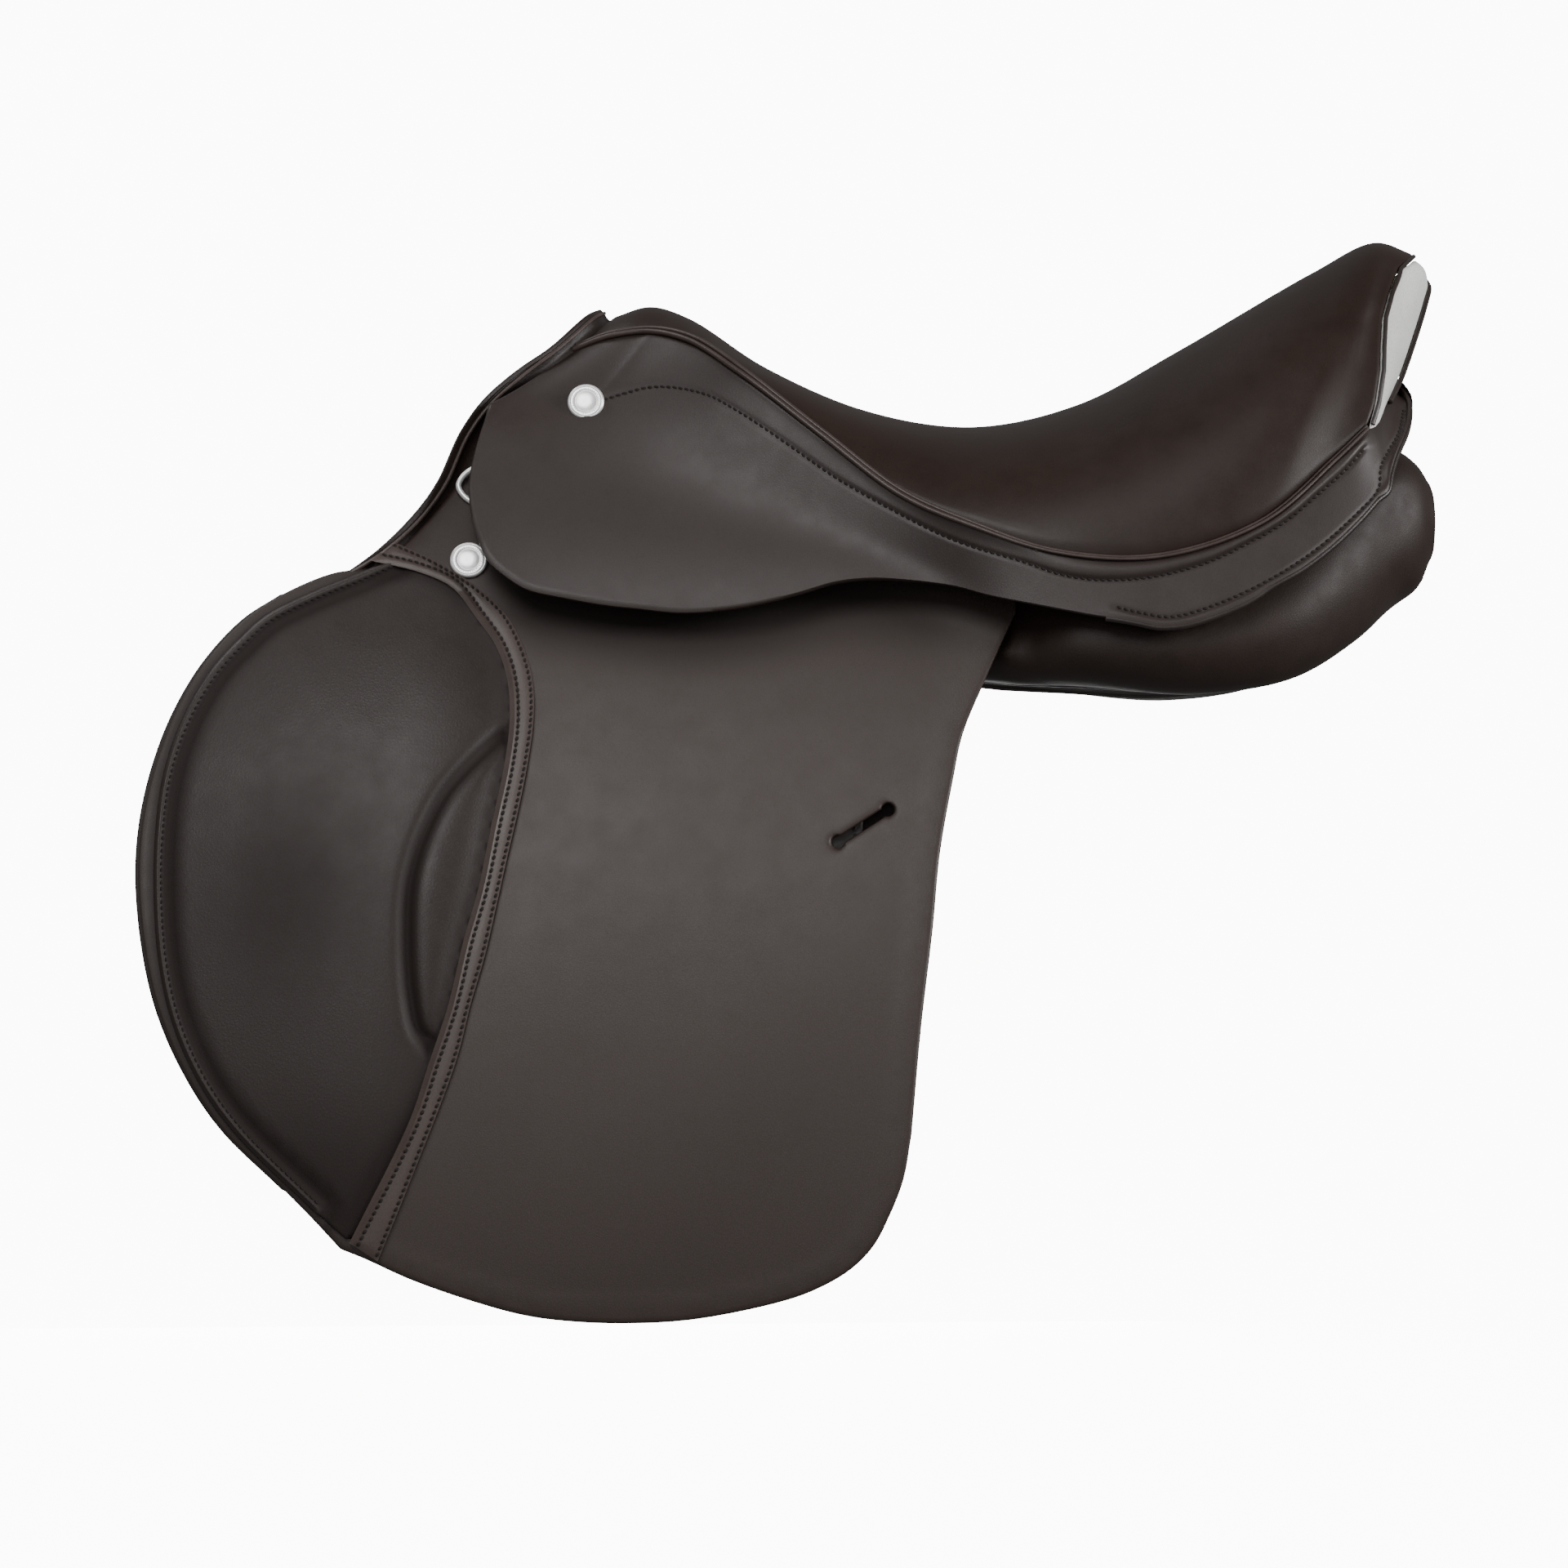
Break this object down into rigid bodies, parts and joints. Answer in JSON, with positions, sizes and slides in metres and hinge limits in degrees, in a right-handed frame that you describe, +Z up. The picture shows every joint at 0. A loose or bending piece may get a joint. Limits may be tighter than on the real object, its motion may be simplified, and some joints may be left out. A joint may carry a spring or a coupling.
{
  "type": "english saddle",
  "caption": "English riding saddle: dipped padded seat on a sprung tree, long forward flaps with padded knee pads, lifting skirts, stirrup bars, girth straps and flocked panels.",
  "frame": {"origin": "on the centre plane, on the horse's spine below the lowest part of the seat", "axes": "+X towards the cantle (rear), +Z up, -Y the near (left) side of the horse"},
  "size_m": [0.666, 0.4178, 0.5513],
  "materials": {
    "flap_leather": "smooth dark brown bridle leather, satin",
    "seat_leather": "soft dark brown seat calf, satin sheen",
    "pad_leather": "soft grained dark brown leather over padding",
    "strip_leather": "dark brown strip, twice stitched",
    "lining_leather": "dark brown sweat flap leather, matt",
    "strap_leather": "dark brown strap leather, waxed edges",
    "panel_leather": "dark brown panel leather over flock, satin",
    "white_leather": "white smooth patent-faced leather",
    "bright_metal": "polished nickel-plated brass",
    "steel": "forged stainless steel, brushed",
    "spring_steel": "blued spring steel",
    "tree_wood": "laminated beech, varnished",
    "webbing": "woven linen webbing",
    "foam": "felt-faced foam"
  },
  "bodies": {
    "saddle": {"bar_rivet_front_left": "steel", "bar_rivet_front_right": "steel", "bar_rivet_rear_left": "steel", "bar_rivet_rear_right": "steel", "cantle_back": "flap_leather", "cantle_inlay": "white_leather", "cross_web": "webbing", "dee_chape_left": "strap_leather", "dee_chape_right": "strap_leather", "flap_top_left": "flap_leather", "flap_top_right": "flap_leather", "gullet_plate": "spring_steel", "head_plate": "spring_steel", "nail_lower_left": "bright_metal", "nail_lower_right": "bright_metal", "nail_upper_left": "bright_metal", "nail_upper_right": "bright_metal", "panel_left": "panel_leather", "panel_right": "panel_leather", "pommel_facing": "flap_leather", "seat_cover": "seat_leather", "seat_foam": "foam", "seat_web": "webbing", "skirt_band_left": "flap_leather", "skirt_band_right": "flap_leather", "spring_steel_left": "spring_steel", "spring_steel_right": "spring_steel", "stirrup_bar_left": "steel", "stirrup_bar_right": "steel", "sweat_flap_left": "lining_leather", "sweat_flap_right": "lining_leather", "tree_cantle": "tree_wood", "tree_head": "tree_wood", "tree_rail_left": "tree_wood", "tree_rail_right": "tree_wood", "welt_left": "seat_leather", "welt_right": "seat_leather"},
    "flap_left": {"flap_left": "flap_leather", "knee_pad_left": "pad_leather", "knee_strip_left": "strip_leather", "knee_block_left": "foam"},
    "skirt_left": {"skirt_left": "flap_leather"},
    "buckle_guard_left": {"buckle_guard_left": "strap_leather"},
    "dee_left": {"dee_left": "bright_metal"},
    "bar_catch_left": {"bar_catch_left": "steel"},
    "billet_front_left": {"billet_front_left": "strap_leather"},
    "billet_middle_left": {"billet_middle_left": "strap_leather"},
    "billet_rear_left": {"billet_rear_left": "strap_leather"},
    "flap_right": {"flap_right": "flap_leather", "knee_pad_right": "pad_leather", "knee_strip_right": "strip_leather", "knee_block_right": "foam"},
    "skirt_right": {"skirt_right": "flap_leather"},
    "buckle_guard_right": {"buckle_guard_right": "strap_leather"},
    "dee_right": {"dee_right": "bright_metal"},
    "bar_catch_right": {"bar_catch_right": "steel"},
    "billet_front_right": {"billet_front_right": "strap_leather"},
    "billet_middle_right": {"billet_middle_right": "strap_leather"},
    "billet_rear_right": {"billet_rear_right": "strap_leather"}
  },
  "joints": [
    {"name": "flap_lift_left", "type": "hinge", "parent": "saddle", "child": "flap_left", "pos_m": [-0.305, -0.1085, 0.043], "axis": [-0.9825, 0.0834, 0.1667], "range_deg": [0, 72]},
    {"name": "skirt_lift_left", "type": "hinge", "parent": "saddle", "child": "skirt_left", "pos_m": [-0.241, -0.0708, 0.137], "axis": [-0.9048, 0.2334, 0.3562], "range_deg": [0, 75]},
    {"name": "billet_front_sway_left", "type": "hinge", "parent": "saddle", "child": "billet_front_left", "pos_m": [-0.1475, -0.121, -0.002], "axis": [0, 1, 0], "range_deg": [-2.2, 2.2]},
    {"name": "billet_middle_sway_left", "type": "hinge", "parent": "saddle", "child": "billet_middle_left", "pos_m": [-0.1095, -0.121, -0.002], "axis": [0, 1, 0], "range_deg": [-2.2, 2.2]},
    {"name": "billet_rear_sway_left", "type": "hinge", "parent": "saddle", "child": "billet_rear_left", "pos_m": [-0.0715, -0.121, -0.002], "axis": [0, 1, 0], "range_deg": [-2.2, 2.2]},
    {"name": "guard_slide_left", "type": "hinge", "parent": "saddle", "child": "buckle_guard_left", "pos_m": [-0.11, 0.41989, -0.3], "axis": [1, 0, 0], "range_deg": [0, 8.5]},
    {"name": "dee_swing_left", "type": "hinge", "parent": "saddle", "child": "dee_left", "pos_m": [-0.237, -0.08012, 0.09373], "axis": [0, 0.548, 0.8365], "range_deg": [0, 30]},
    {"name": "catch_turn_left", "type": "hinge", "parent": "saddle", "child": "bar_catch_left", "pos_m": [-0.066, -0.09959, 0.072], "axis": [0, -0.8365, 0.548], "range_deg": [0, 75]},
    {"name": "flap_lift_right", "type": "hinge", "parent": "saddle", "child": "flap_right", "pos_m": [-0.305, 0.1085, 0.043], "axis": [0.9825, 0.0834, -0.1667], "range_deg": [0, 72]},
    {"name": "skirt_lift_right", "type": "hinge", "parent": "saddle", "child": "skirt_right", "pos_m": [-0.241, 0.0708, 0.137], "axis": [0.9048, 0.2334, -0.3562], "range_deg": [0, 75]},
    {"name": "billet_front_sway_right", "type": "hinge", "parent": "saddle", "child": "billet_front_right", "pos_m": [-0.1475, 0.121, -0.002], "axis": [0, 1, 0], "range_deg": [-2.2, 2.2]},
    {"name": "billet_middle_sway_right", "type": "hinge", "parent": "saddle", "child": "billet_middle_right", "pos_m": [-0.1095, 0.121, -0.002], "axis": [0, 1, 0], "range_deg": [-2.2, 2.2]},
    {"name": "billet_rear_sway_right", "type": "hinge", "parent": "saddle", "child": "billet_rear_right", "pos_m": [-0.0715, 0.121, -0.002], "axis": [0, 1, 0], "range_deg": [-2.2, 2.2]},
    {"name": "guard_slide_right", "type": "hinge", "parent": "saddle", "child": "buckle_guard_right", "pos_m": [-0.11, -0.41989, -0.3], "axis": [-1, 0, 0], "range_deg": [0, 8.5]},
    {"name": "dee_swing_right", "type": "hinge", "parent": "saddle", "child": "dee_right", "pos_m": [-0.237, 0.08012, 0.09373], "axis": [0, 0.548, -0.8365], "range_deg": [0, 30]},
    {"name": "catch_turn_right", "type": "hinge", "parent": "saddle", "child": "bar_catch_right", "pos_m": [-0.066, 0.09959, 0.072], "axis": [0, -0.8365, -0.548], "range_deg": [0, 75]}
  ]
}
